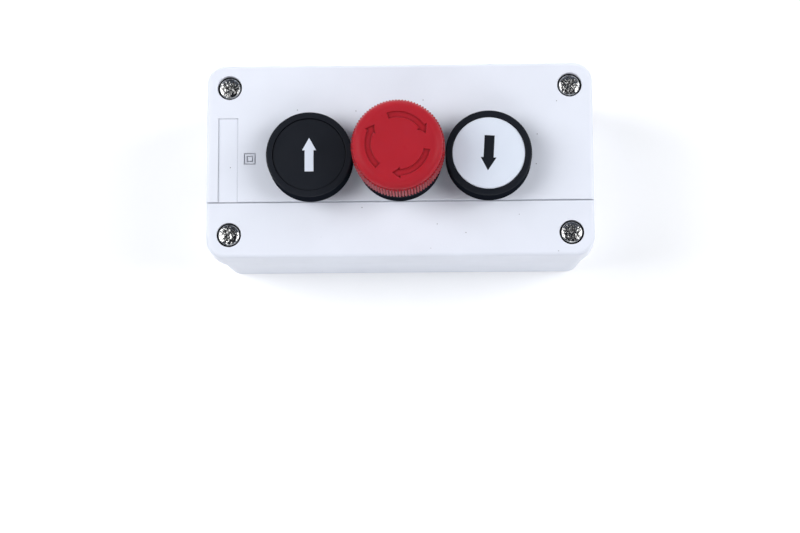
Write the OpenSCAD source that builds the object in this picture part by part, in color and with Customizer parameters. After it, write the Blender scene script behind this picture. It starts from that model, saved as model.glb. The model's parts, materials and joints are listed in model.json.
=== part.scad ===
// Pendant control station: a two-part insulated case with a sealed joint, carrying
// an up button, a turn-to-release stop head and a down button, each with its own
// contact block behind the panel. All sizes in millimetres.
// Origin: centre of the mounting face. +X along the case, +Z out of the front panel.

/* [Case] */
// length of the front cover
case_w = 131; // [130:1:136]
// height of the front cover
case_h = 66.2; // [65.6:0.2:70]
// depth from the mounting face to the front panel
case_d = 53; // [52:1:58]
// corner radius of the front cover
corner_r = 6.3; // [5.5:0.1:7]
// depth of the cover's skirt
skirt_d = 14; // [13:1:15]
// rounding between the front panel and the skirt
edge_r = 1.4; // [1:0.1:1.6]
// thickness of the front panel
panel_t = 3; // [2.5:0.1:3.2]
// thickness of the base floor
floor_t = 3; // [2.5:0.5:4]
// distance from a cover screw to the two case edges beside it
screw_inset = 7.75; // [7.7:0.05:8]

/* [Front panel relief] */
// height of the lower strip, from the case centre line down to its step
strip_y = 14.2; // [13.5:0.1:14.6]
// how far the lower strip lies below the panel
strip_drop = 0.8; // [0.4:0.1:1]
// width of the label field
label_w = 6.7; // [6:0.1:8]
// height of the label field above the case centre line
label_top = 14.7; // [12:0.1:18]
// depth of the label field
label_drop = 0.5; // [0.3:0.1:0.7]

/* [Entries and fixings] */
// radius of the cable entry
entry_r = 10.2; // [8.2:0.1:10.2]
// height of the cable entry above the mounting face
entry_z = 19; // [18.5:0.5:20]
// radius of the mounting holes
mount_r = 2.15; // [2:0.05:2.6]
// spacing of the mounting holes along the case
mount_dx = 109; // [107:1:110]
// spacing of the mounting holes across the case
mount_dy = 18; // [16:1:20]

/* [Operators] */
// spacing of the three operators
pitch = 30; // [30:0.1:30.6]
// radius of a button bezel
bezel_r = 14.45; // [14.2:0.05:14.6]
// height of a button bezel above the panel
bezel_h = 9.5; // [9.3:0.1:10]
// radius of a button cap
cap_r = 12.15; // [12:0.05:12.2]
// how far a button cap lies below its bezel's rim
cap_sink = 0.5; // [0.3:0.1:0.8]
// radius of the stop head over its grip ribs
head_r = 15.45; // [15.2:0.05:15.5]
// height of the stop head's face above the panel
head_top = 25.3; // [25:0.1:27]
// height of the stop head's lower rim above the panel
head_low = 11.6; // [11.4:0.1:12]
// number of grip ribs round the stop head
head_ribs = 92; // [72:4:108]
// travel of the buttons and of the stop head
travel = 4; // [3:0.5:4]

/* [Hidden] */
$fn = 72;
slack = 0.05;
lap = 1;

// case
split_z = case_d - skirt_d;
inner_z = case_d - panel_t;
wall = 4.2;
cav_w = case_w - 2 * wall;
cav_h = case_h - 2 * wall;
screw_x = case_w / 2 - screw_inset;
screw_y = case_h / 2 - screw_inset;
scoop_r = 8;
rim_lip = 0.8;
groove_w = 1.8;
groove_d = 2.4;
rim_step = 0.5;
rim_d = 6;
rim_r = corner_r - rim_step;
tub_step = 1.2;
tub_draft = 1.1;
tub_r = 5;
foot_r = 1;
edge_steps = 5;
fillet_steps = 4;
label_inset = 4;
leaf = 0.02;
back_w = 84;
back_h = 34;
back_d = 0.8;
boss_r = 5;
boss_h = 1.5;
pad_r = 13.2;
pad_x = case_w / 2 - 0.3;
web_t = 0.6;
knock_r = 9.6;
knock_w = 1;

// cover screws and their sealing rings
bore_r = 2.1;
sink_r = 4.15;
head_d = 2.4;
head_drop = 0.6;
head_round = 0.8;
bolt_head_r = 3.6;
bolt_r = 1.95;
bolt_l = 30;
pilot_d = 22;
pilot_r = 2;
ring_t = 0.8;
ring_lip = 1.2;
slot_w = 0.9;
slot_l = 5.2;
slot_d = 1.1;

// double square relief beside the label field
mark_x = -50.7;
mark_y = 0.6;
mark_out = 4;
mark_in = 2.2;
mark_line = 0.4;
mark_d = 0.55;

// operator heads, heights above the panel
hole_r = 11.25;
barrel_ro = 11;
barrel_ri = 9.6;
barrel_d = 18;
ledge_t = 1.5;
ledge_r = 4.8;
cup_r = cap_r + 0.25;
cup_floor = 2.5;
rim_fillet = 0.5;
cap_top = bezel_h - cap_sink;
cap_t = 2;
cap_low = cap_top - cap_t;
cap_edge = 0.3;
inlay_d = 0.6;
inlay_gap = 0.02;
seal_ri = 11.5;
seal_ro = 13.4;
seal_d = 1.2;
pusher_r = 9.4;
pusher_low = 3;
stem_r = 4.6;
catch_r = 5.6;
catch_t = 1.45;
nut_ro = 14;
nut_t = 5;
nut_lobes = 8;
lobe_r = 1.3;
thread_gap = 0.05;

// collars that carry the contact blocks
collar_w = 26;
collar_h = 44;
collar_t = 8.15;
collar_top = -panel_t - nut_t - slack;
collar_low = collar_top - collar_t;
collar_r = 3;
leg_w = 9;
leg_t = 1.95;
leg_low = -31.2;
hook_h = 1.6;
hook_in = 0.7;
lock_x = 9.5;
lock_y = 17.5;
lock_r = 1.5;
lock_head_r = 2.7;
lock_head_t = 2;

// legends: length, length of the head, width of the head, width of the shaft
up_legend = [11.5, 4.3, 4.8, 3];
down_legend = [12, 4.5, 5.3, 3.4];
down_turn = 176.6;

// stop head
stop_bezel_h = 6.8;
guard_ro = 12.4;
guard_h = 16;
rib_d = 0.6;
rib_low = 0.6;
skin_r = head_r - rib_d;
face_r = 11.8;
face_drop = 2.7;
dome_steps = 8;
shell_r = 13.2;
shell_top = head_top - 2.3;
hub_r = 7;
hub_low = 4.5;
spigot_r = 4;
spigot_bore = 4.1;
spigot_top = 20;
disc_t = 4;
disc_low = -2;
latch_ri = 7.4;
latch_ro = 9.55;
latch_top = -6.2;
latch_low = -14;
latch_notch = 3;
turn_ri = 8.7;
turn_ro = 10.7;
turn_tail = 108.5;
turn_base = 34.7;
turn_tip = 20.7;
turn_tip_r = 9.9;
turn_head_ri = 8.2;
turn_head_ro = 11.5;
turn_d = 0.4;
turn_steps = 12;

// contact blocks, heights above the panel
block_top = -24;
block_h = 20;
block_low = block_top - block_h;
block_w = 12;
block_l = 40;
lid_t = 1.2;
room_w = 8;
room_l = 22;
room_top = block_top - 2;
room_low = block_low + 2;
act_r = 2.9;
act_hole = 3.05;
act_top = -barrel_d - slack - catch_t - slack;
act_flange_r = 3.6;
act_flange_t = 0.95;
rod_r = 1.5;
rod_l = 7;
bridge_w = 4;
bridge_l = 18;
bridge_t = 0.8;
pad_tip_r = 1.5;
pad_tip_t = 0.6;
tip_y = 7.5;
no_gap = travel + 0.1;
strip_top = block_low + 9.2;
strip_low = strip_top - bridge_t;
strip_in = 6;
strip_out = 18.6;
post_y = 10.2;
nc_strip_top = -28.6;
pocket_in = 12.5;
post_hole = 1.75;
post_r = 1.7;
post_at = 16;
post_head_r = 2.9;
post_head_t = 2;
post_head_low = block_low + 1;
post_top = strip_top + 2;
clamp_s = 6;
clamp_t = 1;
clamp_top = strip_low - 1;

// springs
coil_seg = 18;
wire_seg = 6;
end_turn = 2.3;
main_wire = 0.5;
main_r = 6.55;
button_turns = 7;
stop_turns = 6;
small_wire = 0.35;
small_r = 2.7;
small_turns = 6;
twist_wire = 0.25;
twist_r = 5.6;
twist_turns = 3;

case_white = [0.87, 0.89, 0.93];
rubber_black = [0.05, 0.05, 0.06];
plastic_black = [0.07, 0.08, 0.10];
stop_red = [0.70, 0.06, 0.08];
button_white = [0.90, 0.91, 0.95];
natural = [0.82, 0.82, 0.78];
steel = [0.66, 0.67, 0.70];
brass = [0.78, 0.62, 0.28];
block_grey = [0.32, 0.33, 0.36];
make_green = [0.10, 0.45, 0.20];
break_red = [0.65, 0.10, 0.08];

up_x = -pitch;
down_x = pitch;

// ---------------------------------------------------------------- helpers

function arc(cx, cy, rx, ry, a0, a1, n) =
  [for (i = [0:n]) [cx + rx * cos(a0 + (a1 - a0) * i / n), cy + ry * sin(a0 + (a1 - a0) * i / n)]];

module rounded(w, h, r) {
  square([w, h - 2 * r], center = true);
  square([w - 2 * r, h], center = true);
  for (sx = [-1, 1]) {
    for (sy = [-1, 1]) {
      translate([sx * (w / 2 - r), sy * (h / 2 - r)])
        circle(r);
    }
  }
}

module plate(w, h, r, t) {
  linear_extrude(t)
    rounded(w, h, r);
}

module tube(ro, ri, t) {
  linear_extrude(t)
    difference() {
      circle(ro);
      circle(ri);
    }
}

module at_corners(x, y) {
  for (sx = [-1, 1]) {
    for (sy = [-1, 1]) {
      translate([sx * x, sy * y, 0])
        children();
    }
  }
}

module at_operators() {
  for (x = [up_x, 0, down_x]) {
    translate([x, 0, 0])
      children();
  }
}

// rectangle whose corners are scooped out round the screw posts
module scooped(w, h, r) {
  difference() {
    square([w, h], center = true);
    for (sx = [-1, 1]) {
      for (sy = [-1, 1]) {
        translate([sx * screw_x, sy * screw_y])
          mirror([sx < 0 ? 1 : 0, 0])
            mirror([0, sy < 0 ? 1 : 0])
              scoop(r);
      }
    }
  }
}

module scoop(r) {
  circle(r);
  translate([0, -r])
    square([screw_inset + r, screw_inset + 2 * r]);
  translate([-r, 0])
    square([screw_inset + 2 * r, screw_inset + r]);
}

// helical spring with a closed turn at each end, standing between two levels
module coil(mean_r, wire_r, low, high, turns) {
  steps = turns * coil_seg;
  z0 = low + wire_r;
  z1 = high - wire_r;
  dead = end_turn * wire_r;
  function climb(t) = t < 1
    ? z0 + dead * t
    : t > turns - 1
      ? z1 - dead * (turns - t)
      : z0 + dead + (z1 - z0 - 2 * dead) * (t - 1) / (turns - 2);
  points = [
    for (i = [0:steps])
      for (j = [0:wire_seg - 1])
        let (a = 360 * i / coil_seg, b = 360 * j / wire_seg, r = mean_r + wire_r * cos(b))
          [r * cos(a), r * sin(a), climb(i / coil_seg) + wire_r * sin(b)]
  ];
  skin = [
    for (i = [0:steps - 1])
      for (j = [0:wire_seg - 1])
        let (k = (j + 1) % wire_seg, p = i * wire_seg, q = p + wire_seg)
          [p + j, q + j, q + k, p + k]
  ];
  start = [[for (j = [0:wire_seg - 1]) j]];
  end = [[for (j = [0:wire_seg - 1]) (steps + 1) * wire_seg - 1 - j]];
  polyhedron(points, concat(skin, start, end), convexity = 8);
}

// ---------------------------------------------------------------- case

module base_tub() {
  hull() {
    plate(case_w - 2 * (tub_step + tub_draft + foot_r), case_h - 2 * (tub_step + tub_draft + foot_r),
      tub_r - foot_r, leaf);
    translate([0, 0, foot_r])
      plate(case_w - 2 * (tub_step + tub_draft), case_h - 2 * (tub_step + tub_draft), tub_r, leaf);
    translate([0, 0, split_z - rim_d])
      plate(case_w - 2 * tub_step, case_h - 2 * tub_step, tub_r, leaf);
  }
}

module gasket_groove(clear) {
  difference() {
    scooped(cav_w + 2 * (rim_lip + groove_w - clear), cav_h + 2 * (rim_lip + groove_w - clear),
      scoop_r - rim_lip - groove_w + clear);
    scooped(cav_w + 2 * (rim_lip + clear), cav_h + 2 * (rim_lip + clear), scoop_r - rim_lip - clear);
  }
}

module base_box() {
  color(case_white)
    difference() {
      union() {
        difference() {
          union() {
            base_tub();
            translate([0, 0, split_z - rim_d])
              plate(case_w - 2 * rim_step, case_h - 2 * rim_step, rim_r, rim_d);
            for (side = [0, 180]) {
              rotate([0, 0, side])
                translate([cav_w / 2 - lap, 0, entry_z])
                  rotate([0, 90, 0])
                    cylinder(r = pad_r, h = pad_x - cav_w / 2 + lap);
            }
          }
          translate([0, 0, floor_t])
            linear_extrude(case_d)
              scooped(cav_w, cav_h, scoop_r);
        }
        at_corners(mount_dx / 2, mount_dy / 2)
          cylinder(r = boss_r, h = floor_t + boss_h);
      }
      translate([0, 0, split_z - groove_d])
        linear_extrude(groove_d + lap)
          gasket_groove(0);
      at_corners(screw_x, screw_y)
        translate([0, 0, split_z - pilot_d])
          cylinder(r = pilot_r, h = pilot_d + lap);
      at_corners(mount_dx / 2, mount_dy / 2)
        translate([0, 0, -lap])
          cylinder(r = mount_r, h = case_d);
      translate([-case_w / 2 - lap, 0, entry_z])
        rotate([0, 90, 0])
          cylinder(r = entry_r, h = case_w / 2 - mount_dx / 2);
      translate([cav_w / 2 + web_t, 0, entry_z])
        rotate([0, 90, 0])
          tube(knock_r, knock_r - knock_w, wall + lap);
      translate([0, 0, -lap])
        plate(back_w, back_h, corner_r, back_d + lap);
    }
}

// outer skin of the cover with its face lowered by drop
module cover_skin(drop) {
  hull() {
    translate([0, 0, split_z])
      plate(case_w, case_h, corner_r, leaf);
    for (i = [0:edge_steps]) {
      a = 90 * i / edge_steps;
      inset = edge_r * (1 - cos(a));
      translate([0, 0, case_d - drop - edge_r - leaf + edge_r * sin(a)])
        plate(case_w - 2 * inset, case_h - 2 * inset, corner_r - inset, leaf);
    }
  }
}

module square_line(side) {
  difference() {
    square(side + mark_line, center = true);
    square(side - mark_line, center = true);
  }
}

module front_cover() {
  color(case_white)
    difference() {
      cover_skin(0);
      difference() {
        translate([-case_w, -case_h - strip_y, split_z + lap])
          cube([2 * case_w, case_h, case_d]);
        cover_skin(strip_drop);
      }
      translate([0, 0, split_z - lap])
        linear_extrude(inner_z - split_z + lap)
          scooped(cav_w, cav_h, scoop_r);
      translate([-case_w / 2 + label_inset, -strip_y - lap, case_d - label_drop])
        cube([label_w, label_top + strip_y + lap, lap]);
      translate([mark_x, mark_y, case_d - mark_d])
        linear_extrude(lap) {
          square_line(mark_out - mark_line);
          square_line(mark_in - mark_line);
        }
      at_operators()
        translate([0, 0, inner_z - lap])
          cylinder(r = hole_r, h = panel_t + 2 * lap);
      at_corners(screw_x, screw_y) {
        translate([0, 0, split_z - lap])
          cylinder(r = bore_r, h = case_d);
        translate([0, 0, case_d - head_drop - head_d - ring_t])
          cylinder(r = sink_r, h = case_d);
      }
    }
}

module cover_gasket() {
  color(rubber_black)
    translate([0, 0, split_z - groove_d])
      linear_extrude(groove_d)
        gasket_groove(2 * slack);
}

module cover_bolt() {
  difference() {
    union() {
      rotate_extrude()
        polygon(concat([[0, 0], [bolt_head_r, 0]],
          arc(bolt_head_r - head_round, head_d - head_round, head_round, head_round, 0, 90, fillet_steps),
          [[0, head_d]]));
      translate([0, 0, -bolt_l])
        cylinder(r = bolt_r, h = bolt_l + slack);
    }
    for (a = [0, 90]) {
      rotate([0, 0, a])
        translate([-slot_l / 2, -slot_w / 2, head_d - slot_d])
          cube([slot_l, slot_w, slot_d + lap]);
    }
    for (a = [45, 135]) {
      rotate([0, 0, a])
        translate([-slot_l / 3, -slot_w / 4, head_d - slot_d / 2])
          cube([2 * slot_l / 3, slot_w / 2, slot_d]);
    }
  }
}

module cover_screws() {
  color(steel)
    at_corners(screw_x, screw_y)
      translate([0, 0, case_d - head_drop - head_d])
        cover_bolt();
}

module screw_seals() {
  color(rubber_black)
    at_corners(screw_x, screw_y)
      translate([0, 0, case_d - head_drop - head_d - ring_t])
        rotate_extrude()
          polygon([
            [bore_r, 0], [sink_r - slack, 0], [sink_r - slack, ring_t + ring_lip],
            [bolt_head_r + slack, ring_t + ring_lip], [bolt_head_r + slack, ring_t], [bore_r, ring_t]
          ]);
}

// ---------------------------------------------------------------- operator heads

module bezel_seals() {
  color(rubber_black)
    at_operators()
      translate([0, 0, case_d])
        tube(seal_ro - slack, seal_ri + slack, seal_d - slack);
}

module panel_nuts() {
  color(plastic_black)
    at_operators()
      translate([0, 0, inner_z - nut_t])
        difference() {
          cylinder(r = nut_ro, h = nut_t);
          translate([0, 0, -lap])
            cylinder(r = barrel_ro + thread_gap, h = nut_t + 2 * lap);
          for (i = [0:nut_lobes - 1]) {
            rotate([0, 0, (i + 0.5) * 360 / nut_lobes])
              translate([nut_ro, 0, -lap])
                cylinder(r = lobe_r, h = nut_t + 2 * lap, $fn = 24);
          }
        }
}

// the barrel, its lower ledge and the seal groove under the flange, as one half profile
function barrel_profile() = [
  [ledge_r, -barrel_d], [barrel_ro, -barrel_d], [barrel_ro, 0], [seal_ri, 0],
  [seal_ri, seal_d], [seal_ro, seal_d], [seal_ro, 0], [bezel_r, 0]
];

module button_bezel(x) {
  color(plastic_black)
    translate([x, 0, case_d])
      rotate_extrude()
        polygon(concat(barrel_profile(),
          arc(bezel_r - rim_fillet, bezel_h - rim_fillet, rim_fillet, rim_fillet, 0, 90, fillet_steps),
          [[cup_r, bezel_h], [cup_r, cup_floor], [barrel_ri, cup_floor],
            [barrel_ri, ledge_t - barrel_d], [ledge_r, ledge_t - barrel_d]]));
}

module arrow_shape(legend, clear) {
  back = -legend[0] / 2 + clear;
  tip = legend[0] / 2 - 2 * clear;
  neck = legend[0] / 2 - legend[1] + clear;
  wing = legend[2] / 2 - 2 * clear;
  half = legend[3] / 2 - clear;
  polygon([[-half, back], [half, back], [half, neck], [wing, neck], [0, tip], [-wing, neck],
    [-half, neck]]);
}

module button_cap(x, legend, turn, tint) {
  color(tint)
    translate([x, 0, case_d])
      difference() {
        rotate_extrude()
          polygon(concat([[0, cap_low], [cap_r, cap_low]],
            arc(cap_r - cap_edge, cap_top - cap_edge, cap_edge, cap_edge, 0, 90, fillet_steps),
            [[0, cap_top]]));
        translate([0, 0, cap_top - inlay_d])
          rotate([0, 0, turn])
            linear_extrude(lap)
              arrow_shape(legend, 0);
      }
}

module button_arrow(x, legend, turn, tint) {
  color(tint)
    translate([x, 0, case_d + cap_top - inlay_d])
      rotate([0, 0, turn])
        linear_extrude(inlay_d)
          arrow_shape(legend, inlay_gap);
}

module stem_profile(shoulder) {
  low = -barrel_d - slack - catch_t;
  polygon([[0, low], [catch_r, low], [catch_r, low + catch_t], [stem_r, low + catch_t],
    [stem_r, shoulder], [0, shoulder]]);
}

module button_plunger(x) {
  color(natural)
    translate([x, 0, case_d]) {
      rotate_extrude()
        stem_profile(pusher_low + slack);
      translate([0, 0, pusher_low])
        cylinder(r = pusher_r, h = cap_low - pusher_low);
    }
}

module button_spring(x) {
  color(steel)
    translate([x, 0, case_d])
      coil(main_r, main_wire, ledge_t - barrel_d + slack, pusher_low - slack, button_turns);
}

module stop_bezel() {
  color(plastic_black)
    translate([0, 0, case_d])
      rotate_extrude()
        polygon(concat(barrel_profile(),
          arc(bezel_r - rim_fillet, stop_bezel_h - rim_fillet, rim_fillet, rim_fillet, 0, 90, fillet_steps),
          [[guard_ro, stop_bezel_h], [guard_ro, guard_h], [barrel_ri, guard_h],
            [barrel_ri, ledge_t - barrel_d], [ledge_r, ledge_t - barrel_d]]));
}

// one curved arrow of the turn-to-release marking, read clockwise
module turn_arrow() {
  sweep = arc(0, 0, turn_ro, turn_ro, turn_tail, turn_base, turn_steps);
  inner = arc(0, 0, turn_ri, turn_ri, turn_base, turn_tail, turn_steps);
  polygon(concat(sweep, inner));
  polygon([
    [turn_head_ro * cos(turn_base), turn_head_ro * sin(turn_base)],
    [turn_tip_r * cos(turn_tip), turn_tip_r * sin(turn_tip)],
    [turn_head_ri * cos(turn_base), turn_head_ri * sin(turn_base)]
  ]);
}

module grip_ribs() {
  linear_extrude(head_top - face_drop - head_low - rib_low)
    polygon([
      for (i = [0:2 * head_ribs - 1])
        let (a = 180 * i / head_ribs, r = i % 2 == 0 ? head_r : skin_r - slack)
          [r * cos(a), r * sin(a)]
    ]);
}

module stop_head() {
  edge = head_top - face_drop;
  color(stop_red)
    translate([0, 0, case_d])
      difference() {
        union() {
          rotate_extrude()
            polygon(concat([[0, shell_top - lap], [0, head_top]],
              arc(face_r, edge, skin_r - face_r, face_drop, 90, 0, dome_steps),
              [[skin_r, head_low], [shell_r, head_low], [shell_r, shell_top - lap],
                [shell_r - lap, shell_top], [hub_r, shell_top], [hub_r, hub_low],
                [spigot_bore, hub_low], [spigot_bore, shell_top - lap]]));
          translate([0, 0, head_low + rib_low])
            difference() {
              grip_ribs();
              translate([0, 0, -lap])
                cylinder(r = skin_r - rib_d, h = head_top);
            }
        }
        for (i = [0:2]) {
          translate([0, 0, head_top - turn_d])
            rotate([0, 0, -120 * i])
              linear_extrude(lap)
                turn_arrow();
        }
      }
}

module stop_shaft() {
  color(natural)
    translate([0, 0, case_d]) {
      rotate_extrude()
        stem_profile(disc_low + slack);
      translate([0, 0, disc_low])
        cylinder(r = pusher_r, h = disc_t);
      translate([0, 0, disc_low + disc_t - slack])
        cylinder(r = spigot_r, h = spigot_top - disc_low - disc_t + slack);
    }
}

module stop_latch_ring() {
  color(natural)
    translate([0, 0, case_d + latch_low])
      difference() {
        tube(latch_ro, latch_ri, latch_top - latch_low);
        for (i = [0:2]) {
          rotate([0, 0, 120 * i])
            translate([0, -latch_notch / 2, latch_notch])
              cube([barrel_ro, latch_notch, latch_top - latch_low]);
        }
      }
}

module stop_spring() {
  color(steel)
    translate([0, 0, case_d])
      coil(main_r, main_wire, ledge_t - barrel_d + slack, disc_low - slack, stop_turns);
}

module stop_twist_spring() {
  color(steel)
    translate([0, 0, case_d])
      coil(twist_r, twist_wire, disc_low + disc_t + slack, hub_low - slack, twist_turns);
}

// ---------------------------------------------------------------- collars

module collar(x) {
  color(plastic_black)
    translate([x, 0, case_d])
      difference() {
        union() {
          translate([0, 0, collar_low])
            plate(collar_w, collar_h, collar_r, collar_t);
          for (sy = [-1, 1]) {
            mirror([0, sy < 0 ? 1 : 0, 0])
              collar_leg();
          }
        }
        translate([0, 0, collar_low - lap])
          cylinder(r = barrel_ro + thread_gap, h = collar_t + 2 * lap);
        translate([lock_x, lock_y, collar_low - lap])
          cylinder(r = lock_r + slack, h = collar_t + 2 * lap, $fn = 32);
      }
}

module collar_leg() {
  translate([-leg_w / 2, block_l / 2 + slack, leg_low])
    cube([leg_w, leg_t, collar_low - leg_low + lap]);
  translate([-leg_w / 2, block_l / 2 + slack - hook_in, leg_low])
    cube([leg_w, hook_in + lap / 2, hook_h]);
}

module collar_screws() {
  color(steel)
    at_operators()
      translate([lock_x, lock_y, case_d]) {
        translate([0, 0, collar_low - lock_head_t])
          difference() {
            cylinder(r = lock_head_r, h = lock_head_t, $fn = 32);
            translate([-lock_head_r, -slot_w / 2, -lap])
              cube([2 * lock_head_r, slot_w, lap + slot_d]);
          }
        translate([0, 0, collar_low - slack])
          cylinder(r = lock_r, h = -panel_t - collar_low, $fn = 32);
      }
}

// ---------------------------------------------------------------- contact blocks

module block_housing(x) {
  half = block_w / 2;
  color(block_grey)
    translate([x, 0, case_d])
      difference() {
        translate([-half, -block_l / 2, block_low])
          cube([block_w - lid_t, block_l, block_h]);
        translate([-room_w / 2, -room_l / 2, room_low])
          cube([block_w, room_l, room_top - room_low]);
        translate([0, 0, room_top - lap])
          cylinder(r = act_hole, h = block_h, $fn = 48);
        for (sy = [-1, 1]) {
          mirror([0, sy < 0 ? 1 : 0, 0])
            terminal_pocket();
        }
      }
}

module terminal_pocket() {
  translate([-room_w / 2, pocket_in, block_low - lap])
    cube([block_w, block_l, strip_top - block_low + lap]);
  translate([-bridge_w / 2 - slack, room_l / 2 - lap, strip_low - slack])
    cube([bridge_w + 2 * slack, pocket_in - room_l / 2 + 2 * lap, bridge_t + slack]);
  translate([0, post_at, strip_top - lap])
    cylinder(r = post_r + 2 * slack, h = post_top - strip_top + 2 * lap, $fn = 32);
  translate([-leg_w / 2 - slack, block_l / 2 - hook_in - slack, leg_low - slack])
    cube([leg_w + 2 * slack, block_l, hook_h + 2 * slack]);
}

module block_lid(x) {
  color(block_grey)
    translate([x + block_w / 2 - lid_t, -block_l / 2, case_d + block_low])
      cube([lid_t, block_l, block_h]);
}

module actuator(x, shoulder, tint) {
  color(tint)
    translate([x, 0, case_d])
      rotate_extrude($fn = 48)
        polygon([
          [0, shoulder - rod_l], [rod_r, shoulder - rod_l], [rod_r, shoulder], [act_r, shoulder],
          [act_r, room_top - slack - act_flange_t], [act_flange_r, room_top - slack - act_flange_t],
          [act_flange_r, room_top - slack], [act_r, room_top - slack], [act_r, act_top], [0, act_top]
        ]);
}

// moving contact: face is the level of its tips, way is +1 for tips on top
module bridge(x, top, way) {
  color(brass)
    translate([x, 0, case_d]) {
      difference() {
        translate([-bridge_w / 2, -bridge_l / 2, top - bridge_t])
          cube([bridge_w, bridge_l, bridge_t]);
        translate([0, 0, top - bridge_t - lap])
          cylinder(r = rod_r + slack, h = bridge_t + 2 * lap, $fn = 32);
      }
      for (sy = [-1, 1]) {
        translate([0, sy * tip_y, way > 0 ? top - slack : top - bridge_t - pad_tip_t])
          cylinder(r = pad_tip_r, h = pad_tip_t + slack, $fn = 32);
      }
    }
}

module contact_spring(x, top) {
  color(steel)
    translate([x, 0, case_d])
      coil(small_r, small_wire, room_low + slack, top - bridge_t - slack, small_turns);
}

module strip_hole() {
  translate([0, post_at, strip_low - lap])
    cylinder(r = post_hole, h = bridge_t + 2 * lap, $fn = 32);
}

module make_terminals(x) {
  color(brass)
    translate([x, 0, case_d])
      for (sy = [-1, 1]) {
        mirror([0, sy < 0 ? 1 : 0, 0])
          difference() {
            union() {
              translate([-bridge_w / 2, strip_in, strip_low])
                cube([bridge_w, strip_out - strip_in, bridge_t]);
              translate([0, tip_y, strip_top - slack])
                cylinder(r = pad_tip_r, h = pad_tip_t + slack, $fn = 32);
            }
            strip_hole();
          }
      }
}

module break_terminals(x) {
  color(brass)
    translate([x, 0, case_d])
      for (sy = [-1, 1]) {
        mirror([0, sy < 0 ? 1 : 0, 0])
          difference() {
            union() {
              translate([-bridge_w / 2, post_y, strip_low])
                cube([bridge_w, strip_out - post_y, bridge_t]);
              translate([-bridge_w / 2, post_y, strip_low])
                cube([bridge_w, bridge_t, nc_strip_top - strip_low]);
              translate([-bridge_w / 2, strip_in, nc_strip_top - bridge_t])
                cube([bridge_w, post_y + bridge_t - strip_in, bridge_t]);
              translate([0, tip_y, nc_strip_top - bridge_t - pad_tip_t])
                cylinder(r = pad_tip_r, h = pad_tip_t + slack, $fn = 32);
            }
            strip_hole();
          }
      }
}

module terminal_screws() {
  color(steel)
    at_operators()
      for (sy = [-1, 1]) {
        translate([0, sy * post_at, case_d + post_head_low]) {
          difference() {
            cylinder(r = post_head_r, h = post_head_t, $fn = 32);
            translate([-post_head_r, -slot_w / 2, -lap])
              cube([2 * post_head_r, slot_w, lap + slot_d]);
          }
          translate([0, 0, post_head_t - slack])
            cylinder(r = post_r, h = post_top - post_head_low - post_head_t, $fn = 32);
        }
      }
}

module terminal_clamps() {
  color(steel)
    at_operators()
      for (sy = [-1, 1]) {
        translate([0, sy * post_at, case_d + clamp_top - clamp_t])
          difference() {
            translate([-clamp_s / 2, -clamp_s / 2, 0])
              cube([clamp_s, clamp_s, clamp_t]);
            translate([0, 0, -lap])
              cylinder(r = post_hole, h = clamp_t + 2 * lap, $fn = 32);
          }
      }
}

// level of the bridge's upper face: open at rest, and closed at rest
make_top = strip_top + pad_tip_t + no_gap + pad_tip_t + bridge_t;
break_top = nc_strip_top - bridge_t - 2 * pad_tip_t - slack;

// ---------------------------------------------------------------- nodes

base_box();
front_cover();
cover_gasket();
cover_screws();
screw_seals();
bezel_seals();
panel_nuts();
collar_screws();
terminal_screws();
terminal_clamps();
button_bezel(up_x);  // up_bezel
button_cap(up_x, up_legend, 0, plastic_black);  // up_cap
button_arrow(up_x, up_legend, 0, button_white);  // up_arrow
button_plunger(up_x);  // up_plunger
button_spring(up_x);  // up_spring
collar(up_x);  // up_collar
button_bezel(down_x);  // down_bezel
button_cap(down_x, down_legend, down_turn, button_white);  // down_cap
button_arrow(down_x, down_legend, down_turn, plastic_black);  // down_arrow
button_plunger(down_x);  // down_plunger
button_spring(down_x);  // down_spring
collar(down_x);  // down_collar
stop_bezel();
stop_head();
stop_shaft();
stop_latch_ring();
stop_spring();
stop_twist_spring();
collar(0);  // stop_collar
block_housing(up_x);  // up_block
block_lid(up_x);  // up_block_lid
actuator(up_x, make_top, make_green);  // up_actuator
bridge(up_x, make_top, -1);  // up_bridge
contact_spring(up_x, make_top);  // up_contact_spring
make_terminals(up_x);  // up_terminals
block_housing(down_x);  // down_block
block_lid(down_x);  // down_block_lid
actuator(down_x, make_top, make_green);  // down_actuator
bridge(down_x, make_top, -1);  // down_bridge
contact_spring(down_x, make_top);  // down_contact_spring
make_terminals(down_x);  // down_terminals
block_housing(0);  // stop_block
block_lid(0);  // stop_block_lid
actuator(0, break_top, break_red);  // stop_actuator
bridge(0, break_top, 1);  // stop_bridge
contact_spring(0, break_top);  // stop_contact_spring
break_terminals(0);  // stop_terminals
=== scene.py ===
import json
import math
import random

import bmesh
import bpy
from mathutils import Matrix, Vector


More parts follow.
